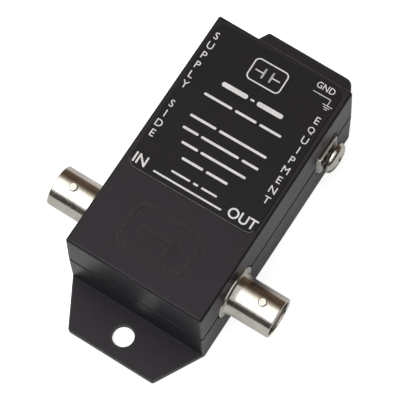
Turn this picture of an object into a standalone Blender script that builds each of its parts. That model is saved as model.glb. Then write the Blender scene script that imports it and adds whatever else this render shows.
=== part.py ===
"""Coax lightning arrestor: a two-part moulded box with mounting ears, two bayonet jacks and a ground screw.

Metres, +Z up. The box is centred on the origin and its underside lies on Z = 0. The jacks face -X (IN)
and +X (OUT), the ground screw faces +X, and the mounting ears lie at both ends along Y.
"""

from math import cos, pi, radians, sin, tan

import bmesh
import bpy

# Box
BODY_WIDTH = 0.0345
BODY_LENGTH = 0.0611
BODY_HEIGHT = 0.0275
SEAM_HEIGHT = 0.01375
WALL = 0.0022
FLOOR = 0.0020
ROOF = 0.0020
CORNER_RADIUS = 0.0004
TOP_EDGE_RADIUS = 0.0006
COVER_DRAFT = radians(1.0)
LIP_OUTER_WALL = 0.0009
LIP_DEPTH = 0.0018
GROOVE_DEPTH = 0.00045
GROOVE_HEIGHT = 0.0004

# Mounting ears
EAR_LENGTH = 0.0110
EAR_TIP_WIDTH = 0.0220
EAR_THICKNESS = 0.0019
EAR_TIP_RADIUS = 0.0004
EAR_FAR_OUT_TIP_RADIUS = 0.0013
EAR_HOLE_RADIUS = 0.0025
EAR_HOLE_FROM_TIP = 0.0053

# Fits
GAP = 0.0003
OVERLAP = 0.0005
CUT_PAST = 0.0010

# Facets of round shapes
ROUND_STEPS = 48
MEDIUM_STEPS = 32
SMALL_STEPS = 16
PIN_STEPS = 8
DOME_STEPS = 6
ARC_STEPS = 4
SHARP_ANGLE = radians(32)

# Bayonet jacks, measured outwards from the box wall
JACK_FROM_END = 0.0130
JACK_REACH = 0.01115
JACK_DEPTH = 0.0095
BARREL_RADIUS = 0.004825
BARREL_WALL = 0.00075
BARREL_BORE_DEPTH = 0.0090
RIM_CHAMFER = 0.00015
FLANGE_WIDTH = 0.0016
FLANGE_THICKNESS = 0.0010
FLANGE_PROUD = 0.0002
FLANGE_FILLET = 0.0008
NECK_RADIUS = 0.0045
LUG_RADIUS = 0.0010
LUG_HEIGHT = 0.0007
LUG_FROM_MOUTH = 0.0042
INSULATOR_RADIUS = 0.00245
INSULATOR_RECESS = 0.0006
INSULATOR_COLLAR_WIDTH = 0.0008
INSULATOR_COLLAR_THICKNESS = 0.0008
CONTACT_RADIUS = 0.0011
CONTACT_BORE_RADIUS = 0.00068
CONTACT_BORE_DEPTH = 0.0045
CONTACT_RECESS = 0.0011
CONTACT_TAIL = 0.0016
JACK_BLOCK_HALF_WIDTH = 0.0042
JACK_LEG_SPREAD = 0.0030

# Ground terminal, on the wall of the OUT jack
GROUND_FROM_END = 0.01065
CLAMP_WIDTH = 0.0074
CLAMP_HEIGHT = 0.0080
CLAMP_THICKNESS = 0.0006
CLAMP_STAND_OFF = 0.0001
CLAMP_INNER_BEND = 0.0002
WINDOW_MARGIN = 0.0005
SHANK_RADIUS = 0.00175
SHANK_LENGTH = 0.0100
HEAD_RADIUS = 0.0037
HEAD_RIM = 0.0007
HEAD_HEIGHT = 0.0024
SLOT_WIDTH = 0.0011
SLOT_DEPTH = 0.0010
BRACKET_EDGE = 0.0009
BRACKET_THICKNESS = 0.0012
BRACKET_FOOT = 0.0042
BRACKET_ABOVE_SCREW = 0.0042

# Label and raised mark on the cover
LABEL_SIDE_MARGIN = 0.00145
LABEL_FAR_MARGIN = 0.00135
LABEL_NEAR_MARGIN = 0.0217
LABEL_THICKNESS = 0.00015
LABEL_LIFT = 0.0001
LABEL_RADIUS = 0.0030
LABEL_X = -0.00005
LABEL_TURN = radians(0.8)
MARK_FROM_END = 0.01085
MARK_WIDTH = 0.0170
MARK_LENGTH = 0.0110
MARK_RADIUS = 0.0028
MARK_LINE = 0.0009
MARK_HEIGHT = 0.00018
ARROW_LENGTH = 0.0105
ARROW_HEAD = 0.0029
ARROW_STEM = 0.0014

# Housing screws and the columns that they join
COLUMN_RADIUS = 0.0026
COLUMN_FROM_WALL = 0.0021
SCREW_RADIUS = 0.0013
SCREW_LENGTH = 0.0170
SCREW_POINT = 0.0026
SCREW_HEAD_RADIUS = 0.0022
SCREW_HEAD_BEVEL = 0.0006
SCREW_HEAD_HEIGHT = 0.0014
SCREW_HEAD_SUNK = 0.0002

# Board and what it carries
BOARD_HEIGHT = 0.0053
BOARD_THICKNESS = 0.0016
BOARD_MARGIN = 0.0005
LEDGE_WIDTH = 0.0016
LEDGE_LENGTH = 0.0360
PIN_BELOW_BOARD = 0.0010
PIN_RADIUS = 0.0005
TUBE_RADIUS = 0.0040
TUBE_LENGTH = 0.0048
ELECTRODE_LENGTH = 0.0009
DIODE_RADIUS = 0.0026
DIODE_LENGTH = 0.0090
COIL_RADIUS = 0.0020
COIL_LENGTH = 0.0085
RESISTOR_RADIUS = 0.0012
RESISTOR_LENGTH = 0.0064
PART_CHAMFER = 0.0004
LEAD_RADIUS = 0.0004
LEAD_DROP_RADIUS = 0.00038
LEAD_REACH = 0.0014
CAPACITOR_WIDTH = 0.0072
CAPACITOR_DEPTH = 0.0030
CAPACITOR_HEIGHT = 0.0070
CAPACITOR_PITCH = 0.0050

# Levels and places that follow from the sizes above
BASE_TOP = SEAM_HEIGHT - GAP / 2
COVER_BOTTOM = SEAM_HEIGHT + GAP / 2
LIP_FLOOR = BASE_TOP - LIP_DEPTH
LIP_BOTTOM = LIP_FLOOR + GAP
BOARD_TOP = BOARD_HEIGHT + BOARD_THICKNESS
BOARD_END = BODY_LENGTH / 2 - WALL - BOARD_MARGIN
PIN_END = BOARD_HEIGHT - PIN_BELOW_BOARD
WALL_X = BODY_WIDTH / 2
JACK_Y = JACK_FROM_END - BODY_LENGTH / 2
GROUND_Y = BODY_LENGTH / 2 - GROUND_FROM_END
MARK_Y = MARK_FROM_END - BODY_LENGTH / 2
LABEL_WIDTH = BODY_WIDTH - 2 * LABEL_SIDE_MARGIN
LABEL_LENGTH = BODY_LENGTH - LABEL_FAR_MARGIN - LABEL_NEAR_MARGIN
LABEL_Y = (LABEL_NEAR_MARGIN - LABEL_FAR_MARGIN) / 2
INNER_WIDTH = BODY_WIDTH - 2 * WALL
INNER_LENGTH = BODY_LENGTH - 2 * WALL
INNER_RADIUS = CORNER_RADIUS / 2
COLUMN_X = INNER_WIDTH / 2 - COLUMN_FROM_WALL
COLUMN_Y = INNER_LENGTH / 2 - COLUMN_FROM_WALL
COLUMNS = [(x, y) for x in (-COLUMN_X, COLUMN_X) for y in (-COLUMN_Y, COLUMN_Y)]
SCREW_SEAT = SCREW_HEAD_SUNK + SCREW_HEAD_HEIGHT
BARREL_BORE_RADIUS = BARREL_RADIUS - BARREL_WALL
FLANGE_RADIUS = BARREL_RADIUS + FLANGE_WIDTH
HOLE_IN_SHELL = INSULATOR_RADIUS + GAP
HOLE_FOR_SHANK = SHANK_RADIUS + GAP
CLAMP_FACE = CLAMP_STAND_OFF + CLAMP_THICKNESS
CLAMP_OUTER_BEND = CLAMP_INNER_BEND + CLAMP_THICKNESS
BRACKET_FACE = -WALL - GAP
BRACKET_HALF_WIDTH = HOLE_FOR_SHANK + BRACKET_EDGE


def clear_scene():
    for old in list(bpy.data.objects):
        bpy.data.objects.remove(old, do_unlink=True)


def material(name, colour, roughness, metallic=0.0):
    made = bpy.data.materials.new(name)
    made.use_nodes = True
    shader = made.node_tree.nodes["Principled BSDF"]
    shader.inputs["Base Color"].default_value = (*colour, 1.0)
    shader.inputs["Roughness"].default_value = roughness
    shader.inputs["Metallic"].default_value = metallic
    made.diffuse_color = (*colour, 1.0)
    return made


def make_object(name, bm, look=None, parent=None, place=(0.0, 0.0, 0.0), turn=(0.0, 0.0, 0.0)):
    """An object from a bmesh, with its normals outwards and its round faces smooth."""
    bmesh.ops.recalc_face_normals(bm, faces=bm.faces)
    mesh = bpy.data.meshes.new(name)
    bm.to_mesh(mesh)
    bm.free()
    mesh.shade_smooth()
    mesh.set_sharp_from_angle(angle=SHARP_ANGLE)
    made = bpy.data.objects.new(name, mesh)
    made.location = place
    made.rotation_euler = turn
    made.parent = parent
    bpy.context.scene.collection.objects.link(made)
    if look:
        mesh.materials.append(look)
    return made


def frame_at(name, place, turn_z=0.0):
    """An empty that carries the pieces of one fitting."""
    made = bpy.data.objects.new(name, None)
    made.location = place
    made.rotation_euler = (0.0, 0.0, turn_z)
    bpy.context.scene.collection.objects.link(made)
    return made


def combine(target, operation, *tools):
    """Adds one Boolean for each tool, which stays as a wire helper."""
    for tool in tools:
        modifier = target.modifiers.new(tool.name, "BOOLEAN")
        modifier.operation = operation
        modifier.solver = "EXACT"
        modifier.object = tool
        tool.hide_render = True
        tool.display_type = "WIRE"


def rounded_rectangle(width, length, radius):
    """The outline as XY points, counter-clockwise from the +X side."""
    points = []
    for quarter, (sx, sy) in enumerate(((1, 1), (-1, 1), (-1, -1), (1, -1))):
        for step in range(ARC_STEPS + 1):
            angle = (quarter + step / ARC_STEPS) * pi / 2
            x = sx * (width / 2 - radius) + radius * cos(angle)
            y = sy * (length / 2 - radius) + radius * sin(angle)
            points.append((x, y))
    return points


def body_outline(inset, radius=CORNER_RADIUS):
    """The box outline drawn in by the same amount all round."""
    return rounded_rectangle(BODY_WIDTH - 2 * inset, BODY_LENGTH - 2 * inset, max(radius, INNER_RADIUS))


def add_loft(bm, sections, closed=False):
    """Skins through (z, outline) sections with as many points each, then caps the ends or joins them."""
    rings = [[bm.verts.new((x, y, z)) for x, y in outline] for z, outline in sections]
    following = rings[1:] + rings[:1] if closed else rings[1:]
    for low, high in zip(rings, following):
        for here in range(len(low)):
            after = (here + 1) % len(low)
            bm.faces.new((low[here], low[after], high[after], high[here]))
    if not closed:
        bm.faces.new(rings[0][::-1])
        bm.faces.new(rings[-1])
    return bm


def prism(outline, bottom, top):
    return add_loft(bmesh.new(), [(bottom, outline), (top, outline)])


def add_box(bm, low, high):
    outline = [(low[0], low[1]), (high[0], low[1]), (high[0], high[1]), (low[0], high[1])]
    return add_loft(bm, [(low[2], outline), (high[2], outline)])


def box(low, high):
    return add_box(bmesh.new(), low, high)


def add_post(bm, x, y, bottom, top, radius, steps=SMALL_STEPS):
    angles = [2 * pi * i / steps for i in range(steps)]
    ring = [(x + radius * cos(angle), y + radius * sin(angle)) for angle in angles]
    return add_loft(bm, [(bottom, ring), (top, ring)])


def turned(profile, steps=ROUND_STEPS, ring=False):
    """A solid turned about X from (x, radius) points, with a through hole where ring is set."""
    bm = bmesh.new()
    points = [bm.verts.new((x, 0.0, radius)) for x, radius in profile]
    ends = points + points[:1] if ring else points
    lines = [bm.edges.new(pair) for pair in zip(ends, ends[1:])]
    bmesh.ops.spin(
        bm, geom=points + lines, cent=(0, 0, 0), axis=(1, 0, 0), angle=2 * pi, steps=steps, use_merge=True
    )
    bmesh.ops.remove_doubles(bm, verts=bm.verts, dist=1e-7)
    return bm


def ear_quarter(trim):
    """One side of an ear in the +X +Y quarter, from under the box round the tip's corner."""
    tip_x, tip_y = EAR_TIP_WIDTH / 2, BODY_LENGTH / 2 + EAR_LENGTH
    root_x, root_y = WALL_X - CORNER_RADIUS / 4, BODY_LENGTH / 2 - CORNER_RADIUS / 2
    taper = ((tip_x - root_x) ** 2 + (tip_y - root_y) ** 2) ** 0.5
    along = ((tip_x - root_x) / taper, (tip_y - root_y) / taper)
    before = (tip_x - trim * along[0], tip_y - trim * along[1])
    after = (tip_x - trim, tip_y)
    points = [(WALL_X - WALL, BODY_LENGTH / 2 - WALL), (root_x, root_y)]
    for step in range(ARC_STEPS + 1):
        t = step / ARC_STEPS
        x = (1 - t) ** 2 * before[0] + 2 * t * (1 - t) * tip_x + t * t * after[0]
        y = (1 - t) ** 2 * before[1] + 2 * t * (1 - t) * tip_y + t * t * after[1]
        points.append((x, y))
    return points


def ear_slab():
    """Both ears and the strip that joins them under the floor, as one flat outline."""
    outline = []
    radii = (EAR_FAR_OUT_TIP_RADIUS, EAR_TIP_RADIUS, EAR_TIP_RADIUS, EAR_TIP_RADIUS)
    for (side, end), radius in zip(((1, 1), (-1, 1), (-1, -1), (1, -1)), radii):
        points = [(side * x, end * y) for x, y in ear_quarter(radius)]
        outline += points if side == end else points[::-1]
    return prism(outline, 0.0, EAR_THICKNESS)


def cavity(bottom, top, inset):
    return prism(body_outline(inset, CORNER_RADIUS - inset), bottom, top)


def jack_opening(name, side):
    """The round seat of a jack's flange and the way through the wall behind it."""
    shoulder = FLANGE_PROUD - FLANGE_THICKNESS - GAP
    profile = [
        (-WALL - CUT_PAST, 0.0),
        (-WALL - CUT_PAST, NECK_RADIUS + GAP),
        (shoulder, NECK_RADIUS + GAP),
        (shoulder, FLANGE_RADIUS + GAP),
        (CUT_PAST, FLANGE_RADIUS + GAP),
        (CUT_PAST, 0.0),
    ]
    place = (side * WALL_X, JACK_Y, SEAM_HEIGHT)
    return make_object(name, turned(profile), place=place, turn=(0.0, 0.0, 0.0 if side > 0 else pi))


def ground_window():
    half_width = CLAMP_WIDTH / 2 + WINDOW_MARGIN
    half_height = CLAMP_HEIGHT / 2 + WINDOW_MARGIN
    low = (WALL_X - WALL - OVERLAP / 2, GROUND_Y - half_width, SEAM_HEIGHT - half_height)
    high = (WALL_X + CUT_PAST, GROUND_Y + half_width, SEAM_HEIGHT + half_height)
    return make_object("cut_ground_window", box(low, high))


def make_base(look, openings):
    base = make_object("base_housing", prism(body_outline(0.0), 0.0, BASE_TOP), look)
    ears = make_object("add_ears", ear_slab())
    hollow = make_object("cut_base_hollow", cavity(FLOOR, BASE_TOP + CUT_PAST, WALL))
    inside = bmesh.new()
    for x, y in COLUMNS:
        add_post(inside, x, y, FLOOR - OVERLAP, LIP_FLOOR, COLUMN_RADIUS)
    ledge_top = BOARD_HEIGHT - GAP
    for side in (-1, 1):
        outer, inner = side * (INNER_WIDTH / 2 + OVERLAP), side * (INNER_WIDTH / 2 - LEDGE_WIDTH)
        low = (min(outer, inner), -LEDGE_LENGTH / 2, FLOOR - OVERLAP)
        add_box(inside, low, (max(outer, inner), LEDGE_LENGTH / 2, ledge_top))
    supports = make_object("add_base_columns", inside)
    rebate = make_object("cut_lip_rebate", cavity(LIP_FLOOR, BASE_TOP + CUT_PAST, LIP_OUTER_WALL))
    combine(base, "UNION", ears)
    combine(base, "DIFFERENCE", hollow)
    combine(base, "UNION", supports)
    combine(base, "DIFFERENCE", rebate)

    holes = bmesh.new()
    ear_hole_y = BODY_LENGTH / 2 + EAR_LENGTH - EAR_HOLE_FROM_TIP
    for y in (-ear_hole_y, ear_hole_y):
        add_post(holes, 0.0, y, -CUT_PAST, EAR_THICKNESS + CUT_PAST, EAR_HOLE_RADIUS, ROUND_STEPS)
    seats = bmesh.new()
    for x, y in COLUMNS:
        add_post(holes, x, y, -CUT_PAST, LIP_FLOOR + CUT_PAST, SCREW_RADIUS + GAP)
        add_post(seats, x, y, -CUT_PAST, SCREW_SEAT + GAP, SCREW_HEAD_RADIUS + GAP)
    combine(base, "DIFFERENCE", make_object("cut_base_holes", holes), make_object("cut_screw_seats", seats))
    combine(base, "DIFFERENCE", *openings)
    return base


def cover_sections():
    """The cover from the foot of its lip, out over the seam groove and up to the rounded top edge."""
    def drawn_in(height):
        return (height - COVER_BOTTOM) * tan(COVER_DRAFT)

    groove_top = COVER_BOTTOM + GROOVE_HEIGHT
    groove_end = groove_top + GROOVE_DEPTH
    round_start = BODY_HEIGHT - TOP_EDGE_RADIUS
    steps = [
        (LIP_BOTTOM, LIP_OUTER_WALL + GAP),
        (COVER_BOTTOM, LIP_OUTER_WALL + GAP),
        (COVER_BOTTOM, GROOVE_DEPTH),
        (groove_top, GROOVE_DEPTH),
        (groove_end, drawn_in(groove_end)),
    ]
    for step in range(ARC_STEPS + 1):
        angle = step / ARC_STEPS * pi / 2
        height = round_start + TOP_EDGE_RADIUS * sin(angle)
        steps.append((height, drawn_in(round_start) + TOP_EDGE_RADIUS * (1 - cos(angle))))
    return [(height, body_outline(inset)) for height, inset in steps]


def mark_frame():
    """The raised rounded frame round the flow arrow on the cover."""
    outer = rounded_rectangle(MARK_WIDTH, MARK_LENGTH, MARK_RADIUS)
    inner_width, inner_length = MARK_WIDTH - 2 * MARK_LINE, MARK_LENGTH - 2 * MARK_LINE
    inner = rounded_rectangle(inner_width, inner_length, MARK_RADIUS - MARK_LINE)
    bottom, top = BODY_HEIGHT - OVERLAP, BODY_HEIGHT + MARK_HEIGHT
    sections = [(bottom, outer), (top, outer), (top, inner), (bottom, inner)]
    return add_loft(bmesh.new(), sections, closed=True)


def mark_arrow():
    """The raised arrow from the IN side to the OUT side."""
    tip, half_stem = ARROW_LENGTH / 2, ARROW_STEM / 2
    neck = tip - ARROW_HEAD
    upper = [(tip, 0.0), (neck, ARROW_HEAD), (neck, half_stem), (-tip, half_stem)]
    outline = upper + [(x, -y) for x, y in reversed(upper[1:])]
    return prism(outline, BODY_HEIGHT - OVERLAP, BODY_HEIGHT + MARK_HEIGHT)


def make_cover(look, openings):
    cover = make_object("top_cover", add_loft(bmesh.new(), cover_sections()), look)
    roof_inside = BODY_HEIGHT - ROOF
    hollow = make_object("cut_cover_hollow", cavity(LIP_BOTTOM - CUT_PAST, roof_inside, WALL))
    columns, pilots = bmesh.new(), bmesh.new()
    for x, y in COLUMNS:
        add_post(columns, x, y, LIP_BOTTOM, roof_inside + OVERLAP, COLUMN_RADIUS)
        pilot_end = SCREW_SEAT + SCREW_LENGTH + CUT_PAST
        add_post(pilots, x, y, LIP_BOTTOM - CUT_PAST, pilot_end, SCREW_RADIUS + GAP)
    combine(cover, "DIFFERENCE", hollow)
    combine(cover, "UNION", make_object("add_cover_columns", columns))
    combine(cover, "DIFFERENCE", make_object("cut_pilot_holes", pilots))
    combine(cover, "DIFFERENCE", *openings)
    frame = make_object("add_mark_frame", mark_frame(), place=(0.0, MARK_Y, 0.0))
    arrow = make_object("add_mark_arrow", mark_arrow(), place=(0.0, MARK_Y, 0.0))
    combine(cover, "UNION", frame, arrow)
    return cover


def make_label(look):
    outline = rounded_rectangle(LABEL_WIDTH, LABEL_LENGTH, LABEL_RADIUS)
    sheet = prism(outline, 0.0, LABEL_THICKNESS)
    place = (LABEL_X, LABEL_Y, BODY_HEIGHT + LABEL_LIFT)
    return make_object("label", sheet, look, place=place, turn=(0.0, 0.0, LABEL_TURN))


def shell_profile():
    """The jack's turned shell: neck, flange, fillet, barrel, rim and the bore behind the mouth."""
    front, back = FLANGE_PROUD, FLANGE_PROUD - FLANGE_THICKNESS
    profile = [
        (-JACK_DEPTH, HOLE_IN_SHELL),
        (-JACK_DEPTH, NECK_RADIUS),
        (back, NECK_RADIUS),
        (back, FLANGE_RADIUS),
        (front, FLANGE_RADIUS),
    ]
    for step in range(ARC_STEPS + 1):
        angle = step / ARC_STEPS * pi / 2
        x = front + FLANGE_FILLET * (1 - cos(angle))
        profile.append((x, BARREL_RADIUS + FLANGE_FILLET * (1 - sin(angle))))
    bore_floor = JACK_REACH - BARREL_BORE_DEPTH
    return profile + [
        (JACK_REACH - RIM_CHAMFER, BARREL_RADIUS),
        (JACK_REACH, BARREL_RADIUS - RIM_CHAMFER),
        (JACK_REACH, BARREL_BORE_RADIUS + RIM_CHAMFER),
        (JACK_REACH - RIM_CHAMFER, BARREL_BORE_RADIUS),
        (bore_floor, BARREL_BORE_RADIUS),
        (bore_floor, HOLE_IN_SHELL),
    ]


def make_jack(name, side, shell_look, insulator_look, contact_look):
    """One jack in its own frame, with +X out of the box and the origin on the wall's outer face."""
    frame = frame_at(f"{name}_frame", (side * WALL_X, JACK_Y, SEAM_HEIGHT), 0.0 if side > 0 else pi)
    shell = make_object(f"{name}_shell", turned(shell_profile(), ring=True), shell_look, frame)
    lugs = bmesh.new()
    lug_x = JACK_REACH - LUG_FROM_MOUTH
    lug_foot, lug_tip = BARREL_RADIUS - BARREL_WALL / 2, BARREL_RADIUS + LUG_HEIGHT
    add_post(lugs, lug_x, 0.0, lug_foot, lug_tip, LUG_RADIUS)
    add_post(lugs, lug_x, 0.0, -lug_tip, -lug_foot, LUG_RADIUS)
    foot_top = -(HOLE_IN_SHELL + NECK_RADIUS) / 2
    foot_bottom = BOARD_TOP + GAP - SEAM_HEIGHT
    block = box(
        (-JACK_DEPTH, -JACK_BLOCK_HALF_WIDTH, foot_bottom), (-WALL - GAP, JACK_BLOCK_HALF_WIDTH, foot_top)
    )
    legs = bmesh.new()
    leg_x = -(WALL + GAP + JACK_DEPTH) / 2
    for y in (-JACK_LEG_SPREAD, JACK_LEG_SPREAD):
        add_post(legs, leg_x, y, PIN_END - SEAM_HEIGHT, foot_bottom + OVERLAP, PIN_RADIUS, PIN_STEPS)
    tools = [("lugs", lugs), ("block", block), ("legs", legs)]
    combine(shell, "UNION", *(make_object(f"add_{name}_{what}", bm, parent=frame) for what, bm in tools))

    bore_floor = JACK_REACH - BARREL_BORE_DEPTH
    collar = bore_floor + GAP
    collar_radius = INSULATOR_RADIUS + INSULATOR_COLLAR_WIDTH
    insulator_profile = [
        (-JACK_DEPTH, CONTACT_RADIUS + GAP),
        (-JACK_DEPTH, INSULATOR_RADIUS),
        (collar, INSULATOR_RADIUS),
        (collar, collar_radius),
        (collar + INSULATOR_COLLAR_THICKNESS, collar_radius),
        (collar + INSULATOR_COLLAR_THICKNESS, INSULATOR_RADIUS),
        (JACK_REACH - INSULATOR_RECESS, INSULATOR_RADIUS),
        (JACK_REACH - INSULATOR_RECESS, CONTACT_RADIUS + GAP),
    ]
    insulator = turned(insulator_profile, MEDIUM_STEPS, ring=True)
    make_object(f"{name}_insulator", insulator, insulator_look, frame)

    tip, tail = JACK_REACH - CONTACT_RECESS, -JACK_DEPTH - CONTACT_TAIL
    contact_profile = [
        (tail, 0.0),
        (tail, CONTACT_RADIUS),
        (tip, CONTACT_RADIUS),
        (tip, CONTACT_BORE_RADIUS),
        (tip - CONTACT_BORE_DEPTH, CONTACT_BORE_RADIUS),
        (tip - CONTACT_BORE_DEPTH, 0.0),
    ]
    contact = make_object(f"{name}_contact", turned(contact_profile, SMALL_STEPS), contact_look, frame)
    drop_x = tail + CONTACT_TAIL / 2
    drop = add_post(bmesh.new(), drop_x, 0.0, PIN_END - SEAM_HEIGHT, 0.0, PIN_RADIUS, PIN_STEPS)
    combine(contact, "UNION", make_object(f"add_{name}_tail", drop, parent=frame))
    places = [(leg_x, -JACK_LEG_SPREAD), (leg_x, JACK_LEG_SPREAD), (drop_x, 0.0)]
    return [(side * (WALL_X + x), JACK_Y + side * y) for x, y in places]


def clamp_outline():
    """The square clamp from above: a plate with both ends bent in towards the bracket."""
    half = CLAMP_WIDTH / 2
    lip_end = BRACKET_FACE + GAP
    outer, inner = [], []
    for side in (1, -1):
        for step in range(ARC_STEPS + 1):
            share = step / ARC_STEPS if side < 0 else 1 - step / ARC_STEPS
            across, out = side * sin(share * pi / 2), cos(share * pi / 2)
            x, y = CLAMP_FACE - CLAMP_OUTER_BEND, side * (half - CLAMP_OUTER_BEND)
            outer.append((x + CLAMP_OUTER_BEND * out, y + CLAMP_OUTER_BEND * across))
            inner.append((x + CLAMP_INNER_BEND * out, y + CLAMP_INNER_BEND * across))
    outer = [(lip_end, half)] + outer + [(lip_end, -half)]
    inner = [(lip_end, half - CLAMP_THICKNESS)] + inner + [(lip_end, CLAMP_THICKNESS - half)]
    return outer + inner[::-1]


def make_ground_terminal(clamp_look, screw_look, bracket_look):
    """Clamp, screw and threaded bracket in one frame, with +X out of the wall along the screw."""
    frame = frame_at("ground_frame", (WALL_X, GROUND_Y, SEAM_HEIGHT))
    ends = (-SHANK_LENGTH, SHANK_LENGTH)
    bore = [(ends[0], 0.0), (ends[0], HOLE_FOR_SHANK), (ends[1], HOLE_FOR_SHANK), (ends[1], 0.0)]
    drill = make_object("cut_ground_bore", turned(bore, MEDIUM_STEPS), parent=frame)

    clamp_bm = prism(clamp_outline(), -CLAMP_HEIGHT / 2, CLAMP_HEIGHT / 2)
    clamp = make_object("ground_clamp", clamp_bm, clamp_look, frame)
    combine(clamp, "DIFFERENCE", drill)

    under_head = CLAMP_FACE + GAP
    profile = [
        (under_head - SHANK_LENGTH, 0.0),
        (under_head - SHANK_LENGTH, SHANK_RADIUS - GAP),
        (under_head - SHANK_LENGTH + GAP, SHANK_RADIUS),
        (under_head, SHANK_RADIUS),
        (under_head, HEAD_RADIUS),
        (under_head + HEAD_RIM, HEAD_RADIUS),
    ]
    for step in range(1, DOME_STEPS + 1):
        angle = step / DOME_STEPS * pi / 2
        x = under_head + HEAD_RIM + (HEAD_HEIGHT - HEAD_RIM) * sin(angle)
        profile.append((x, HEAD_RADIUS * cos(angle) if step < DOME_STEPS else 0.0))
    screw = make_object("ground_screw", turned(profile), screw_look, frame)
    slot_floor = under_head + HEAD_HEIGHT - SLOT_DEPTH
    slot = box(
        (slot_floor, -HEAD_RADIUS - CUT_PAST, -SLOT_WIDTH / 2),
        (under_head + HEAD_HEIGHT + CUT_PAST, HEAD_RADIUS + CUT_PAST, SLOT_WIDTH / 2),
    )
    combine(screw, "DIFFERENCE", make_object("cut_screw_slot", slot, parent=frame))

    foot_bottom = BOARD_TOP + GAP - SEAM_HEIGHT
    face, back = BRACKET_FACE, BRACKET_FACE - BRACKET_THICKNESS
    half = BRACKET_HALF_WIDTH
    bracket_bm = box((back, -half, foot_bottom), (face, half, BRACKET_ABOVE_SCREW))
    bracket = make_object("ground_bracket", bracket_bm, bracket_look, frame)
    foot_top = foot_bottom + BRACKET_THICKNESS
    foot = box((back - BRACKET_FOOT, -half, foot_bottom), (back + OVERLAP, half, foot_top))
    legs = bmesh.new()
    leg_x = back - BRACKET_FOOT / 2
    for y in (-half / 2, half / 2):
        add_post(legs, leg_x, y, PIN_END - SEAM_HEIGHT, foot_bottom + OVERLAP, PIN_RADIUS, PIN_STEPS)
    combine(bracket, "UNION", make_object("add_bracket_foot", foot, parent=frame))
    combine(bracket, "UNION", make_object("add_bracket_legs", legs, parent=frame))
    combine(bracket, "DIFFERENCE", drill)
    return [(WALL_X + leg_x, GROUND_Y - half / 2), (WALL_X + leg_x, GROUND_Y + half / 2)]


def make_housing_screws(look):
    profile = [
        (SCREW_HEAD_SUNK, 0.0),
        (SCREW_HEAD_SUNK, SCREW_HEAD_RADIUS - SCREW_HEAD_BEVEL),
        (SCREW_HEAD_SUNK + SCREW_HEAD_BEVEL, SCREW_HEAD_RADIUS),
        (SCREW_SEAT, SCREW_HEAD_RADIUS),
        (SCREW_SEAT, SCREW_RADIUS),
        (SCREW_SEAT + SCREW_LENGTH - SCREW_POINT, SCREW_RADIUS),
        (SCREW_SEAT + SCREW_LENGTH, 0.0),
    ]
    for number, (x, y) in enumerate(COLUMNS, start=1):
        name = f"housing_screw_{number}"
        make_object(name, turned(profile, SMALL_STEPS), look, place=(x, y, 0.0), turn=(0.0, -pi / 2, 0.0))


def make_axial_part(name, look, radius, length, y):
    """A round part that lies along X on the board, with both leads bent down through it."""
    height = BOARD_TOP + GAP + radius
    end = length / 2 + LEAD_REACH
    profile = [
        (-end, 0.0),
        (-end, LEAD_RADIUS),
        (-length / 2, LEAD_RADIUS),
        (-length / 2, radius - PART_CHAMFER),
        (-length / 2 + PART_CHAMFER, radius),
        (length / 2 - PART_CHAMFER, radius),
        (length / 2, radius - PART_CHAMFER),
        (length / 2, LEAD_RADIUS),
        (end, LEAD_RADIUS),
        (end, 0.0),
    ]
    part = make_object(name, turned(profile, SMALL_STEPS), look, place=(0.0, y, height))
    lead_x = end - LEAD_RADIUS
    leads = bmesh.new()
    for x in (-lead_x, lead_x):
        add_post(leads, x, y, PIN_END, height + LEAD_RADIUS / 4, LEAD_DROP_RADIUS, PIN_STEPS)
    combine(part, "UNION", make_object(f"add_{name}_leads", leads))
    return [(-lead_x, y), (lead_x, y)]


def make_gas_tube(ceramic_look, electrode_look, y):
    """The gas discharge tube: a ceramic barrel between two metal electrodes, each with a lead."""
    height = BOARD_TOP + GAP + TUBE_RADIUS
    half = TUBE_LENGTH / 2
    barrel = [(-half, 0.0), (-half, TUBE_RADIUS), (half, TUBE_RADIUS), (half, 0.0)]
    make_object("gas_tube_barrel", turned(barrel, MEDIUM_STEPS), ceramic_look, place=(0.0, y, height))
    start = half + GAP
    places = []
    for name, side in (("gas_tube_electrode_in", -1), ("gas_tube_electrode_out", 1)):
        cap = [
            (side * start, 0.0),
            (side * start, TUBE_RADIUS),
            (side * (start + ELECTRODE_LENGTH), TUBE_RADIUS),
            (side * (start + ELECTRODE_LENGTH), LEAD_RADIUS),
            (side * (start + ELECTRODE_LENGTH + LEAD_REACH), LEAD_RADIUS),
            (side * (start + ELECTRODE_LENGTH + LEAD_REACH), 0.0),
        ]
        electrode = make_object(name, turned(cap, MEDIUM_STEPS), electrode_look, place=(0.0, y, height))
        lead_x = side * (start + ELECTRODE_LENGTH + LEAD_REACH - LEAD_RADIUS)
        lead_top = height + LEAD_RADIUS / 4
        lead = add_post(bmesh.new(), lead_x, y, PIN_END, lead_top, LEAD_DROP_RADIUS, PIN_STEPS)
        combine(electrode, "UNION", make_object(f"add_{name}_lead", lead))
        places.append((lead_x, y))
    return places


def make_capacitor(look, y):
    bottom = BOARD_TOP + GAP
    low = (-CAPACITOR_WIDTH / 2, y - CAPACITOR_DEPTH / 2, bottom)
    high = (CAPACITOR_WIDTH / 2, y + CAPACITOR_DEPTH / 2, bottom + CAPACITOR_HEIGHT)
    capacitor = make_object("capacitor", box(low, high), look)
    leads = bmesh.new()
    places = [(-CAPACITOR_PITCH / 2, y), (CAPACITOR_PITCH / 2, y)]
    for lead_x, lead_y in places:
        add_post(leads, lead_x, lead_y, PIN_END, bottom + OVERLAP, LEAD_RADIUS, PIN_STEPS)
    combine(capacitor, "UNION", make_object("add_capacitor_leads", leads))
    return places


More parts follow.
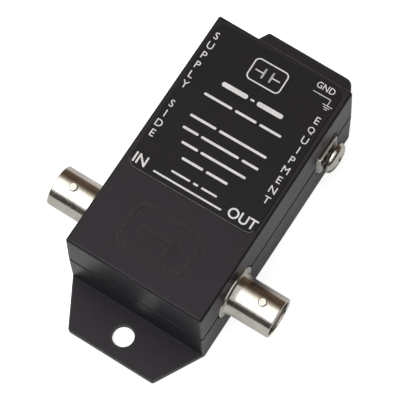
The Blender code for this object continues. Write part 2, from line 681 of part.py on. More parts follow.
def make_board(look, pin_places, lead_places):
    outline = rounded_rectangle(INNER_WIDTH - 2 * BOARD_MARGIN, 2 * BOARD_END, INNER_RADIUS)
    board = make_object("circuit_board", prism(outline, BOARD_HEIGHT, BOARD_TOP), look)
    holes = bmesh.new()
    for x, y in COLUMNS:
        add_post(holes, x, y, BOARD_HEIGHT - CUT_PAST, BOARD_TOP + CUT_PAST, COLUMN_RADIUS + GAP)
    for places, radius in ((pin_places, PIN_RADIUS + GAP), (lead_places, LEAD_RADIUS + GAP)):
        for x, y in places:
            add_post(holes, x, y, BOARD_HEIGHT - CUT_PAST, BOARD_TOP + CUT_PAST, radius, PIN_STEPS)
    combine(board, "DIFFERENCE", make_object("cut_board_holes", holes))


def spread_along_board(depths):
    """The Y of each part in the row, evenly spaced from the jacks to the far end of the board."""
    edge = JACK_Y + JACK_BLOCK_HALF_WIDTH
    space = (BOARD_END - edge - sum(depths)) / (len(depths) + 1)
    places = []
    for depth in depths:
        places.append(edge + space + depth / 2)
        edge += space + depth
    return places


def main():
    clear_scene()
    black_plastic = material("black_plastic", (0.030, 0.029, 0.031), 0.32)
    nickel = material("nickel_plate", (0.62, 0.59, 0.53), 0.18, 1.0)
    zinc = material("zinc_steel", (0.55, 0.54, 0.50), 0.30, 1.0)
    tin = material("tinned_metal", (0.60, 0.60, 0.58), 0.35, 1.0)

    openings = [jack_opening("cut_in_jack", -1), jack_opening("cut_out_jack", 1), ground_window()]
    make_base(black_plastic, openings)
    make_cover(black_plastic, openings)
    make_label(material("label_print", (0.020, 0.017, 0.019), 0.45))
    white_insulator = material("white_insulator", (0.80, 0.77, 0.70), 0.45)
    gilt = material("gilt_contact", (0.75, 0.56, 0.25), 0.25, 1.0)
    pins = make_jack("in_jack", -1, nickel, white_insulator, gilt)
    pins += make_jack("out_jack", 1, nickel, white_insulator, gilt)
    pins += make_ground_terminal(zinc, zinc, tin)
    make_housing_screws(zinc)

    row = (TUBE_RADIUS, DIODE_RADIUS, DIODE_RADIUS, CAPACITOR_DEPTH / 2, RESISTOR_RADIUS, COIL_RADIUS)
    places = spread_along_board([2 * half_depth for half_depth in row])
    tube_y, in_diode_y, out_diode_y, capacitor_y, resistor_y, coil_y = places
    leads = make_gas_tube(material("ceramic", (0.78, 0.72, 0.66), 0.5), tin, tube_y)
    diode_look = material("diode_epoxy", (0.03, 0.03, 0.035), 0.4)
    leads += make_axial_part("clamp_diode_in", diode_look, DIODE_RADIUS, DIODE_LENGTH, in_diode_y)
    leads += make_axial_part("clamp_diode_out", diode_look, DIODE_RADIUS, DIODE_LENGTH, out_diode_y)
    leads += make_capacitor(material("capacitor_case", (0.55, 0.38, 0.05), 0.45), capacitor_y)
    resistor_look = material("resistor_coat", (0.35, 0.50, 0.62), 0.5)
    leads += make_axial_part("resistor", resistor_look, RESISTOR_RADIUS, RESISTOR_LENGTH, resistor_y)
    coil_look = material("coil_coat", (0.06, 0.22, 0.10), 0.45)
    leads += make_axial_part("choke_coil", coil_look, COIL_RADIUS, COIL_LENGTH, coil_y)
    make_board(material("board_laminate", (0.02, 0.16, 0.07), 0.4), pins, leads)


main()
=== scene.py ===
"""Coax lightning arrestor: a moulded box with a printed label, two bayonet jacks and a ground screw."""

from math import cos, pi, radians, sin

import bmesh
import bpy
from mathutils import Matrix, Vector


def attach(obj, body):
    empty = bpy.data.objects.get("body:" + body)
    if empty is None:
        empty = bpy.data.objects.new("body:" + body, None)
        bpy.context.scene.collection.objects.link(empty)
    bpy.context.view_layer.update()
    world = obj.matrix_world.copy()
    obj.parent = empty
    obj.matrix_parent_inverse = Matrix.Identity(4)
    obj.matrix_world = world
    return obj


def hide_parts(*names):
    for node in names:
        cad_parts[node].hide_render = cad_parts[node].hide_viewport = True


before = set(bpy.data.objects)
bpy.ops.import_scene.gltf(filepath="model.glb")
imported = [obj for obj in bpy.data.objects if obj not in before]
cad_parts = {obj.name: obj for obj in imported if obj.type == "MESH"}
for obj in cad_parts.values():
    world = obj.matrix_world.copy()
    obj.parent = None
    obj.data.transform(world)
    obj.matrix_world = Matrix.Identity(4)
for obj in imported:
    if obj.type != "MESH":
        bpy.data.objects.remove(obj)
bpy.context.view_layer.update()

MM = 0.001


def corners(node):
    """The lowest and highest corner of a model node, in metres to the micrometre."""
    places = [vertex.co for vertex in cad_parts[node].data.vertices]
    return (
        [round(min(place[axis] for place in places), 6) for axis in range(3)],
        [round(max(place[axis] for place in places), 6) for axis in range(3)],
    )


def middle(node):
    low, high = corners(node)
    return [round((first + last) / 2, 6) for first, last in zip(low, high)]


# Places read off the model
WALL_X = corners("base_housing")[1][0]
JACK_Y, SEAM_Z = middle("out_jack_insulator")[1:]
GROUND_Y = middle("ground_screw")[1]
LABEL_CENTRE = tuple(middle("label")[:2])
LABEL_TURN = radians(0.8)
LABEL_TOP = corners("label")[1][2]


# Working by hand

def put_down():
    """Nothing stays selected or active."""
    if bpy.context.object and bpy.context.object.mode != "OBJECT":
        bpy.ops.object.mode_set(mode="OBJECT")
    bpy.ops.object.select_all(action="DESELECT")
    bpy.context.view_layer.objects.active = None


def pick_up(*pieces):
    put_down()
    for piece in pieces:
        piece.select_set(True)
    bpy.context.view_layer.objects.active = pieces[0]


def named(name):
    piece = bpy.context.object
    piece.name = name
    piece.data.name = name
    return piece


def work_on(kind="VERT"):
    """Edit mode with nothing selected."""
    bpy.ops.object.mode_set(mode="EDIT")
    bpy.ops.mesh.select_mode(type=kind)
    bpy.ops.mesh.select_all(action="DESELECT")


def select_faces(piece, wanted):
    mesh = bmesh.from_edit_mesh(piece.data)
    for face in mesh.faces:
        face.select_set(bool(wanted(face)))
    mesh.select_flush_mode()
    bmesh.update_edit_mesh(piece.data)


def select_vertices(piece, wanted):
    """In edit mode, selects the vertices for which wanted(vertex) is true."""
    mesh = bmesh.from_edit_mesh(piece.data)
    for vertex in mesh.verts:
        vertex.select_set(bool(wanted(vertex)))
    mesh.select_flush(True)
    bmesh.update_edit_mesh(piece.data)


def select_edges(piece, wanted):
    mesh = bmesh.from_edit_mesh(piece.data)
    for edge in mesh.edges:
        edge.select_set(bool(wanted(edge)))
    mesh.select_flush_mode()
    bmesh.update_edit_mesh(piece.data)


def finish_faces(piece, look, wanted):
    """Gives the faces for which wanted(face) is true a second finish."""
    pick_up(piece)
    work_on("FACE")
    select_faces(piece, wanted)
    piece.data.materials.append(look)
    piece.active_material_index = len(piece.data.materials) - 1
    bpy.ops.object.material_slot_assign()
    bpy.ops.object.mode_set(mode="OBJECT")


def set_place(piece):
    """The piece's place, turn and scale go into its mesh."""
    pick_up(piece)
    bpy.ops.object.transform_apply(location=True, rotation=True, scale=True)


def apply_modifiers(piece):
    pick_up(piece)
    for modifier in list(piece.modifiers):
        bpy.ops.object.modifier_apply(modifier=modifier.name)


def square_normals(piece):
    """Flats shade flat and only the narrow bevels turn the light."""
    pick_up(piece)
    weigh = piece.modifiers.new("normals", "WEIGHTED_NORMAL")
    weigh.keep_sharp = True
    weigh.weight = 100
    apply_modifiers(piece)


def tidy_mesh(piece, smooth_under=35.0, merge=1e-7):
    """Doubles merged, faces outwards, round faces smooth."""
    pick_up(piece)
    work_on()
    bpy.ops.mesh.select_all(action="SELECT")
    bpy.ops.mesh.remove_doubles(threshold=merge)
    bpy.ops.mesh.normals_make_consistent(inside=False)
    bpy.ops.object.mode_set(mode="OBJECT")
    bpy.ops.object.shade_smooth_by_angle(angle=radians(smooth_under))


def cut_away(piece, *tools):
    """Boolean cuts, after which the tools are thrown away."""
    for tool in tools:
        cut = piece.modifiers.new("cut", "BOOLEAN")
        cut.operation = "DIFFERENCE"
        cut.solver = "EXACT"
        cut.object = tool
    apply_modifiers(piece)
    for tool in tools:
        bpy.data.objects.remove(tool, do_unlink=True)


def join_on(piece, *others):
    for other in others:
        weld = piece.modifiers.new("weld", "BOOLEAN")
        weld.operation = "UNION"
        weld.solver = "EXACT"
        weld.object = other
    apply_modifiers(piece)
    for other in others:
        bpy.data.objects.remove(other, do_unlink=True)


def break_edges(piece, width, sharper_than=30.0):
    """A small bevel on every sharp edge."""
    pick_up(piece)
    bevel = piece.modifiers.new("edges", "BEVEL")
    bevel.width = width
    bevel.segments = 2
    bevel.limit_method = "ANGLE"
    bevel.angle_limit = radians(sharper_than)
    bevel.use_clamp_overlap = True
    apply_modifiers(piece)


def turn_on_lathe(name, profile, steps=96, closed=False):
    """A ring drawn out and scaled from one (x, radius) point to the next, about an axis along X."""
    start_x, start_radius = profile[0]
    bpy.ops.mesh.primitive_circle_add(
        vertices=steps, radius=start_radius, fill_type="NOTHING", location=(start_x, 0.0, 0.0),
        rotation=(0.0, pi / 2, 0.0),
    )
    piece = named(name)
    set_place(piece)
    work_on("EDGE")
    bpy.ops.mesh.select_all(action="SELECT")
    if not closed:
        bpy.ops.mesh.edge_face_add()
    x, radius = start_x, start_radius
    for next_x, next_radius in profile[1:]:
        bpy.ops.mesh.extrude_edges_move(TRANSFORM_OT_translate={"value": (next_x - x, 0.0, 0.0)})
        share = next_radius / radius
        if abs(share - 1.0) > 1e-9:
            bpy.ops.transform.resize(value=(1.0, share, share), center_override=(next_x, 0.0, 0.0))
        x, radius = next_x, next_radius
    if closed:
        bpy.ops.mesh.select_all(action="SELECT")
        bpy.ops.mesh.region_to_loop()
        bpy.ops.mesh.bridge_edge_loops()
    else:
        bpy.ops.mesh.edge_face_add()
    bpy.ops.object.mode_set(mode="OBJECT")
    tidy_mesh(piece)
    return piece


def copy_of(piece, name):
    made = piece.copy()
    made.data = piece.data.copy()
    made.name = name
    made.data.name = name
    bpy.context.scene.collection.objects.link(made)
    return made


def turned_round(piece, name, centre):
    """A copy turned half a turn about an upright axis through centre."""
    made = copy_of(piece, name)
    made.rotation_euler = (0.0, 0.0, pi)
    made.location = (2 * centre[0], 2 * centre[1], 0.0)
    set_place(made)
    return made


# Finishes

def srgb(red, green, blue):
    def line(value):
        value /= 255.0
        return value / 12.92 if value <= 0.04045 else ((value + 0.055) / 1.055) ** 2.4
    return (line(red), line(green), line(blue), 1.0)


class Finish:
    """One material, built up node by node."""

    def __init__(self, name, metallic=0.0, specular=0.5):
        self.material = bpy.data.materials.new(name)
        self.material.use_nodes = True
        self.nodes = self.material.node_tree.nodes
        self.links = self.material.node_tree.links
        self.shader = self.nodes["Principled BSDF"]
        self.shader.inputs["Metallic"].default_value = metallic
        self.shader.inputs["Specular IOR Level"].default_value = specular
        self.place = self.nodes.new("ShaderNodeTexCoord").outputs["Object"]

    def stretch(self, x, y, z):
        mapping = self.nodes.new("ShaderNodeMapping")
        mapping.inputs["Scale"].default_value = (x, y, z)
        self.links.new(self.place, mapping.inputs["Vector"])
        return mapping.outputs["Vector"]

    def noise(self, scale, detail=3.0, rough=0.55, vector=None):
        texture = self.nodes.new("ShaderNodeTexNoise")
        texture.inputs["Scale"].default_value = scale
        texture.inputs["Detail"].default_value = detail
        texture.inputs["Roughness"].default_value = rough
        self.links.new(vector or self.place, texture.inputs["Vector"])
        return texture.outputs["Fac"]

    def spread(self, value, low, high, to_low, to_high):
        """Maps low..high to to_low..to_high, held at both ends."""
        ramp = self.nodes.new("ShaderNodeMapRange")
        ramp.clamp = True
        for socket, number in zip(("From Min", "From Max", "To Min", "To Max"), (low, high, to_low, to_high)):
            ramp.inputs[socket].default_value = number
        self.links.new(value, ramp.inputs["Value"])
        return ramp.outputs["Result"]

    def blend(self, share, first, second):
        """Colour first where share is 0, second where it is 1."""
        mix = self.nodes.new("ShaderNodeMix")
        mix.data_type = "RGBA"
        self.links.new(share, mix.inputs["Factor"])
        for socket, colour in (("A", first), ("B", second)):
            target = [s for s in mix.inputs if s.name == socket and s.type == "RGBA"][0]
            if isinstance(colour, tuple):
                target.default_value = colour
            else:
                self.links.new(colour, target)
        return [s for s in mix.outputs if s.type == "RGBA"][0]

    def mottle(self, cloud, first, second):
        """A cloudy mix of two colours."""
        return self.blend(self.spread(cloud, 0.35, 0.65, 0.0, 1.0), first, second)

    def times(self, first, second):
        node = self.nodes.new("ShaderNodeMath")
        node.operation = "MULTIPLY"
        node.use_clamp = True
        for number, value in enumerate((first, second)):
            if isinstance(value, float):
                node.inputs[number].default_value = value
            else:
                self.links.new(value, node.inputs[number])
        return node.outputs["Value"]

    def edges(self, width, low=0.02, high=0.2):
        """1 along convex and concave edges of the piece, 0 on its faces."""
        rounded = self.nodes.new("ShaderNodeBevel")
        rounded.samples = 6
        rounded.inputs["Radius"].default_value = width
        flat = self.nodes.new("ShaderNodeNewGeometry")
        dot = self.nodes.new("ShaderNodeVectorMath")
        dot.operation = "DOT_PRODUCT"
        self.links.new(rounded.outputs["Normal"], dot.inputs[0])
        self.links.new(flat.outputs["Normal"], dot.inputs[1])
        return self.spread(dot.outputs["Value"], 1.0 - low, 1.0 - high, 0.0, 1.0)

    def hollows(self, reach, shut, open_to):
        """A mask for painted shade: 1 in corners and grooves that close in within reach, 0 on open faces."""
        node = self.nodes.new("ShaderNodeAmbientOcclusion")
        node.samples = 12
        node.inputs["Distance"].default_value = reach
        return self.spread(node.outputs["AO"], shut, open_to, 1.0, 0.0)

    def colour(self, value):
        self.links.new(value, self.shader.inputs["Base Color"])

    def roughness(self, value):
        self.links.new(value, self.shader.inputs["Roughness"])

    def bump(self, *layers):
        """Each layer is (height, distance in metres, strength)."""
        normal = None
        for height, distance, strength in layers:
            node = self.nodes.new("ShaderNodeBump")
            node.inputs["Distance"].default_value = distance
            node.inputs["Strength"].default_value = strength
            self.links.new(height, node.inputs["Height"])
            if normal:
                self.links.new(normal, node.inputs["Normal"])
            normal = node.outputs["Normal"]
        self.links.new(normal, self.shader.inputs["Normal"])


def moulded_black(name, tone=(24, 21, 26)):
    """Satin black moulding: rounded edges paler, partly wear and partly painted sheen; crevices darkened with
    painted shade.
    """
    made = Finish(name, specular=0.20)
    made.shader.inputs["Specular Tint"].default_value = (1.0, 0.93, 1.0, 1.0)
    cloud = made.noise(90.0, 4.0, 0.6)
    grain = made.noise(5200.0, 2.0, 0.6)
    wave = made.noise(240.0, 2.0, 0.5)
    base = made.mottle(cloud, srgb(*(value - 3 for value in tone)), srgb(*(value + 3 for value in tone)))
    # Rounded edges painted paler: partly wear, partly a painted sheen standing in for their highlight.
    patchy_wear_and_sheen = made.spread(made.noise(900.0, 3.0), 0.40, 0.62, 0.35, 1.0)
    edge_wear_and_sheen = made.times(made.edges(0.0009, 0.012, 0.09), patchy_wear_and_sheen)
    base = made.blend(edge_wear_and_sheen, base, srgb(62, 59, 63))
    # Painted shade: corners, grooves and the foot of the relief go near black.
    made.colour(made.blend(made.hollows(0.0005, 0.50, 0.90), base, srgb(7, 7, 8)))
    made.roughness(made.spread(made.times(grain, cloud), 0.15, 0.4, 0.34, 0.42))
    made.bump((wave, 0.00004, 0.05), (grain, 0.00001, 0.12))
    return made.material


def bright_nickel(name):
    """Turned and plated brass: fine rings from the lathe, faint spots and a warm cast."""
    made = Finish(name, metallic=1.0)
    rings = made.noise(60.0, 3.0, 0.7, made.stretch(140.0, 1.0, 1.0))
    spots = made.noise(700.0, 4.0, 0.65)
    cloud = made.noise(160.0, 3.0, 0.6)
    base = made.mottle(cloud, srgb(197, 194, 187), srgb(182, 177, 168))
    stain = made.spread(spots, 0.60, 0.74, 0.0, 0.5)
    made.colour(made.blend(stain, base, srgb(140, 130, 116)))
    made.roughness(made.spread(made.times(spots, rings), 0.12, 0.4, 0.13, 0.26))
    made.bump((rings, 0.000006, 0.25), (spots, 0.000008, 0.12))
    return made.material


def dull_zinc(name, light=(192, 189, 183), dark=(160, 156, 148), rough=(0.17, 0.32)):
    made = Finish(name, metallic=1.0)
    cloud = made.noise(420.0, 4.0, 0.65)
    fine = made.noise(3800.0, 3.0, 0.6)
    edge = made.edges(0.00025)
    base = made.blend(made.spread(cloud, 0.38, 0.62, 0.0, 1.0), srgb(*light), srgb(*dark))
    made.colour(made.blend(made.times(edge, 0.5), base, srgb(214, 212, 205)))
    made.roughness(made.spread(cloud, 0.35, 0.65, *rough))
    made.bump((fine, 0.00001, 0.3))
    return made.material


def gilt(name):
    made = Finish(name, metallic=1.0)
    cloud = made.noise(900.0, 3.0, 0.6)
    fine = made.noise(5200.0, 2.0, 0.6)
    made.colour(made.mottle(cloud, srgb(222, 186, 120), srgb(190, 148, 84)))
    made.roughness(made.spread(fine, 0.3, 0.7, 0.18, 0.32))
    made.bump((fine, 0.000005, 0.2))
    return made.material


def waxy_white(name):
    """Turned white insulator, waxy and a little uneven."""
    made = Finish(name)
    made.shader.inputs["Subsurface Weight"].default_value = 0.2
    made.shader.inputs["Subsurface Scale"].default_value = 0.0006
    cloud = made.noise(600.0, 3.0, 0.6)
    rings = made.noise(80.0, 2.0, 0.6, made.stretch(120.0, 1.0, 1.0))
    made.colour(made.mottle(cloud, srgb(232, 227, 216), srgb(214, 206, 192)))
    made.roughness(made.spread(cloud, 0.3, 0.7, 0.38, 0.52))
    made.bump((rings, 0.00001, 0.2))
    return made.material


def label_film(name):
    """The printed film: a flat near-black with faint mottle and a satin coat."""
    made = Finish(name, specular=0.12)
    cloud = made.noise(120.0, 4.0, 0.6)
    fine = made.noise(4200.0, 2.0, 0.5)
    made.colour(made.mottle(cloud, srgb(22, 20, 22), srgb(28, 25, 27)))
    made.roughness(made.spread(cloud, 0.3, 0.7, 0.40, 0.50))
    made.bump((cloud, 0.00004, 0.05), (fine, 0.00001, 0.08))
    return made.material


def label_ink(name):
    """White print, with tiny pinholes and a soft variation in cover."""
    made = Finish(name)
    cloud = made.noise(500.0, 3.0, 0.6)
    fine = made.noise(6000.0, 2.0, 0.6)
    thin = made.spread(fine, 0.66, 0.8, 0.0, 0.6)
    base = made.mottle(cloud, srgb(228, 226, 226), srgb(214, 212, 212))
    made.colour(made.blend(thin, base, srgb(120, 118, 118)))
    made.roughness(made.spread(cloud, 0.3, 0.7, 0.42, 0.55))
    made.bump((fine, 0.00001, 0.15))
    return made.material


def plain_coat(name, first, second, rough=(0.35, 0.5), scale=900.0):
    """Moulded, dipped and cut surfaces, and a painted highlight, in two close tones."""
    made = Finish(name)
    cloud = made.noise(scale, 3.0, 0.6)
    fine = made.noise(scale * 6, 2.0, 0.6)
    made.colour(made.mottle(cloud, srgb(*first), srgb(*second)))
    made.roughness(made.spread(cloud, 0.3, 0.7, *rough))
    made.bump((fine, 0.00002, 0.3))
    return made.material


black_plastic = moulded_black("black_plastic")
relief_black = moulded_black("relief_black", (15, 13, 16))
nickel = bright_nickel("nickel_plate")
zinc = dull_zinc("zinc_steel")
tinned = dull_zinc("tinned_metal", (190, 190, 186), (160, 158, 150), (0.3, 0.5))
gilt_contact = gilt("gilt_contact")
white_insulator = waxy_white("white_insulator")
film = label_film("label_film")
ink = label_ink("label_ink")
# Painted highlight: a pale finish for the label film's near rim.
painted_edge_highlight = plain_coat("label_edge_highlight", (94, 90, 90), (58, 55, 56), (0.40, 0.55), 1400.0)
laminate = plain_coat("board_laminate", (24, 92, 58), (18, 76, 48), (0.28, 0.4), 500.0)
ceramic = plain_coat("ceramic", (226, 214, 204), (212, 198, 188))
diode_epoxy = plain_coat("diode_epoxy", (46, 46, 50), (36, 36, 40))
capacitor_case = plain_coat("capacitor_case", (196, 146, 52), (182, 132, 44))
resistor_coat = plain_coat("resistor_coat", (160, 186, 202), (146, 172, 190))
coil_coat = plain_coat("coil_coat", (62, 122, 80), (52, 106, 68))


def paint(piece, look):
    piece.data.materials.clear()
    piece.data.materials.append(look)


def repaint(node, look):
    """A model node keeps its mesh and takes a finish in each of its slots."""
    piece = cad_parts[node]
    if not piece.material_slots:
        piece.data.materials.append(look)
    for slot in piece.material_slots:
        slot.material = look


for node, look in (
    ("base_housing", black_plastic), ("top_cover", black_plastic), ("label", film),
    ("in_jack_shell", nickel), ("out_jack_shell", nickel),
    ("in_jack_insulator", white_insulator), ("out_jack_insulator", white_insulator),
    ("in_jack_contact", gilt_contact), ("out_jack_contact", gilt_contact),
    ("ground_clamp", zinc), ("ground_screw", zinc), ("ground_bracket", tinned),
    ("circuit_board", laminate), ("gas_tube_barrel", ceramic),
    ("gas_tube_electrode_in", tinned), ("gas_tube_electrode_out", tinned),
    ("clamp_diode_in", diode_epoxy), ("clamp_diode_out", diode_epoxy),
    ("capacitor", capacitor_case), ("resistor", resistor_coat), ("choke_coil", coil_coat),
    ("housing_screw_1", zinc), ("housing_screw_2", zinc),
    ("housing_screw_3", zinc), ("housing_screw_4", zinc),
):
    repaint(node, look)
put_down()


# The moulded housing

def fair_copy(node, name, edge_width):
    """The model's moulding with its doubles merged, its flats cleaned and its sharp edges broken."""
    piece = copy_of(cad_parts[node], name)
    pick_up(piece)
    work_on()
    bpy.ops.mesh.select_all(action="SELECT")
    bpy.ops.mesh.remove_doubles(threshold=2e-6)
    bpy.ops.mesh.dissolve_limited(angle_limit=radians(1.0))
    bpy.ops.object.mode_set(mode="OBJECT")
    break_edges(piece, edge_width, 40.0)
    tidy_mesh(piece, 60.0, 1e-6)
    square_normals(piece)
    paint(piece, black_plastic)
    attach(piece, "housing")
    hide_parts(node)
    return piece


fair_copy("base_housing", "base_moulding", 0.00012)
cover_moulding = fair_copy("top_cover", "cover_moulding", 0.00008)
relief_from = corners("top_cover")[1][2] - 0.00004
finish_faces(cover_moulding, relief_black, lambda face: face.calc_center_median().z > relief_from)


# Bayonet jacks

# Places along a jack's axis from the wall's outer face, and the foot of its legs from the axis
JACK_REACH = corners("out_jack_shell")[1][0] - WALL_X
MOUTH_BOTTOM = JACK_REACH - 0.009
JACK_BACK = -0.0095
LEG_FOOT = corners("out_jack_shell")[0][2] - SEAM_Z


def board_leg(x, y, top):
    """A round leg that goes down through the board, with its end broken."""
    foot = LEG_FOOT
    bpy.ops.mesh.primitive_cylinder_add(
        vertices=32, radius=0.0005, depth=top - foot, location=(x, y, (top + foot) / 2)
    )
    leg = named("leg")
    set_place(leg)
    break_edges(leg, 0.00008)
    return leg


def jack_shell(name):
    """Neck, flange, barrel flaring into it and ending in a rolled rim, and the bore behind the mouth."""
    front, back, reach = 0.0002, -0.0008, JACK_REACH
    outer, bore, flange, neck, inner = 0.004825, 0.004075, 0.006425, 0.0045, 0.00275
    flare_long, flare_high, flare_steps = 0.0025, 0.00042, 12
    profile = [(JACK_BACK, inner), (JACK_BACK, neck - 0.0002), (JACK_BACK + 0.0002, neck), (back, neck)]
    profile += [(back, flange - 0.00012), (back + 0.00012, flange)]
    profile += [(front - 0.0002, flange), (front - 0.00006, flange - 0.00006), (front, flange - 0.0002)]
    profile += [(front, outer + flare_high + 0.00014), (front + 0.00004, outer + flare_high + 0.00004)]
    for step in range(1, flare_steps + 1):
        share = step / flare_steps
        profile.append((front + flare_long * share, outer + flare_high * (1 - share) ** 2))
    profile += [(reach - 0.00035, outer)]
    profile += [(reach - 0.0002, outer), (reach - 0.00006, outer - 0.00006), (reach, outer - 0.0002)]
    profile += [(reach, bore + 0.0002), (reach - 0.00006, bore + 0.00006), (reach - 0.0002, bore)]
    profile += [(reach - 0.00035, bore), (MOUTH_BOTTOM, bore), (MOUTH_BOTTOM, inner)]
    shell = turn_on_lathe(name, profile, steps=128, closed=True)

    pins = []
    for side in (1, -1):
        bpy.ops.mesh.primitive_cylinder_add(
            vertices=48, radius=0.001, depth=0.0011, location=(reach - 0.0042, 0.0, side * 0.004975)
        )
        pin = named("pin")
        pick_up(pin)
        work_on("FACE")
        select_faces(pin, lambda face: face.normal.z * side > 0.9)
        bpy.ops.mesh.bevel(offset=0.00024, segments=3)
        bpy.ops.object.mode_set(mode="OBJECT")
        set_place(pin)
        pins.append(pin)
    bpy.ops.mesh.primitive_cube_add(size=1.0, location=(-0.00615, 0.0, -0.0051))
    block = named("block")
    block.scale = (0.0067, 0.0084, 0.0029)
    set_place(block)
    break_edges(block, 0.0002)
    legs = [board_leg(-0.0060, y, -0.0060) for y in (-0.0030, 0.0030)]
    join_on(shell, *pins, block, *legs)
    tidy_mesh(shell, 30.0)
    square_normals(shell)
    return shell


put_down()
out_shell = jack_shell("out_shell")
out_shell.location = (WALL_X, JACK_Y, SEAM_Z)
set_place(out_shell)
in_shell = turned_round(out_shell, "in_shell", (0.0, JACK_Y, 0.0))


def jack_insulator(name):
    reach, radius = JACK_REACH, 0.00245
    collar = MOUTH_BOTTOM + 0.0003
    profile = [(JACK_BACK, 0.0014), (JACK_BACK, radius), (collar, radius), (collar, radius + 0.0008)]
    profile += [(collar + 0.0008, radius + 0.0008), (collar + 0.0008, radius)]
    profile += [(reach - 0.00075, radius), (reach - 0.0006, radius - 0.00015), (reach - 0.0006, 0.0016)]
    profile += [(reach - 0.0008, 0.0014)]
    return turn_on_lathe(name, profile, steps=96, closed=True)


def jack_contact(name):
    """A socket whose mouth is slit crosswise into four fingers."""
    tip, tail, radius, hole = JACK_REACH - 0.0011, -0.0111, 0.0011, 0.00068
    profile = [(tail, radius - 0.00015), (tail + 0.00015, radius), (tip - 0.00015, radius)]
    profile += [(tip, radius - 0.00015), (tip, hole + 0.00006), (tip - 0.00012, hole), (tip - 0.0045, hole)]
    contact = turn_on_lathe(name, profile, steps=64)
    slits = []
    for size in ((0.004, 0.003, 0.00024), (0.004, 0.00024, 0.003)):
        bpy.ops.mesh.primitive_cube_add(size=1.0, location=(tip - 0.0012, 0.0, 0.0))
        slit = named("slit")
        slit.scale = size
        set_place(slit)
        slits.append(slit)
    cut_away(contact, *slits)
    join_on(contact, board_leg(tail + 0.0008, 0.0, 0.0))
    tidy_mesh(contact, 30.0)
    return contact


out_insulator = jack_insulator("out_insulator")
out_insulator.location = (WALL_X, JACK_Y, SEAM_Z)
set_place(out_insulator)
in_insulator = turned_round(out_insulator, "in_insulator", (0.0, JACK_Y, 0.0))
out_socket = jack_contact("out_socket")
out_socket.location = (WALL_X, JACK_Y, SEAM_Z)
set_place(out_socket)
in_socket = turned_round(out_socket, "in_socket", (0.0, JACK_Y, 0.0))

for piece, node, look, slot in (
    (out_shell, "out_jack_shell", nickel, "nickel_plate"),
    (in_shell, "in_jack_shell", nickel, "nickel_plate"),
    (out_insulator, "out_jack_insulator", white_insulator, "white_insulator"),
    (in_insulator, "in_jack_insulator", white_insulator, "white_insulator"),
    (out_socket, "out_jack_contact", gilt_contact, "gilt_contact"),
    (in_socket, "in_jack_contact", gilt_contact, "gilt_contact"),
):
    paint(piece, look)
    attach(piece, "housing")
    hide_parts(node)


# Ground terminal and screws

def thread_ridge(name, start, end, root, crest, pitch, steps=24):
    """A pointed ridge wound round an axis along X, with its foot buried in the core."""
    bpy.ops.mesh.primitive_circle_add(vertices=3, radius=pitch * 0.5, location=(0.0, 0.0, 0.0))
    ridge = named(name)
    pick_up(ridge)
    work_on()
    for vertex, place in zip(
        bmesh.from_edit_mesh(ridge.data).verts,
        ((-pitch * 0.44, 0.0, root - 0.06 * MM), (0.0, 0.0, crest), (pitch * 0.44, 0.0, root - 0.06 * MM)),
    ):
        vertex.co = place
    bmesh.update_edit_mesh(ridge.data)
    bpy.ops.object.mode_set(mode="OBJECT")
    wind = ridge.modifiers.new("wind", "SCREW")
    wind.axis = "X"
    wind.steps = steps
    wind.render_steps = steps
    wind.iterations = max(1, int((end - start) / pitch) - 1)
    wind.screw_offset = pitch
    wind.use_normal_calculate = True
    apply_modifiers(ridge)
    work_on("EDGE")
    bpy.ops.mesh.select_non_manifold()
    bpy.ops.mesh.edge_face_add()
    bpy.ops.mesh.select_all(action="SELECT")
    bpy.ops.mesh.fill_holes(sides=8)
    bpy.ops.mesh.normals_make_consistent(inside=False)
    bpy.ops.object.mode_set(mode="OBJECT")
    ridge.location = (start + pitch * 0.5, 0.0, 0.0)
    set_place(ridge)
    return ridge


def recess_tool(x_face, depth, length, width, taper=0.55):
    """A wedge that narrows to its bottom, for one arm of a driver recess cut from the +X side."""
    bpy.ops.mesh.primitive_cube_add(size=1.0, location=(x_face - depth / 2 + 0.5 * MM, 0.0, 0.0))
    tool = named("recess")
    tool.scale = (depth + 1.0 * MM, length, width)
    set_place(tool)
    work_on("FACE")
    select_faces(tool, lambda face: face.normal.x < -0.9)
    bpy.ops.transform.resize(value=(1.0, taper, taper), center_override=(x_face - depth, 0.0, 0.0))
    bpy.ops.object.mode_set(mode="OBJECT")
    return tool


def terminal_screw(name):
    """Pan head with a slot and a cross in it, on a threaded shank."""
    under, head, radius, rim, height = 0.0010, 0.0034, 0.0037, 0.0009, 0.0024
    profile = [(under - 0.0100, 0.00085), (under - 0.0095, 0.00132), (under - 0.00012, 0.00132)]
    profile += [(under, 0.00144), (under, radius - 0.0005), (under + 0.0005, radius - 0.00006)]
    profile += [(under + 0.0006, radius), (under + rim, radius)]
    for step in range(1, 16):
        angle = step / 16 * pi / 2
        rise, run = sin(angle) ** 0.77, cos(angle) ** 0.77
        profile.append((under + rim + (height - rim) * rise, radius * run))
    screw = turn_on_lathe(name, profile, steps=96)
    join_on(screw, thread_ridge("thread", under - 0.0098, under - 0.0004, 0.00132, 0.00175, 0.00079375))
    bpy.ops.mesh.primitive_cube_add(size=1.0, location=(head, 0.0, 0.0))
    slot = named("slot")
    slot.scale = (0.0017, 0.0090, 0.0008)
    set_place(slot)
    across = recess_tool(head, 0.0017, 0.0011, 0.0046, 0.5)
    along = recess_tool(head, 0.0017, 0.0034, 0.0011)
    cut_away(screw, slot, across, along)
    tidy_mesh(screw, 35.0, 1e-6)
    return screw


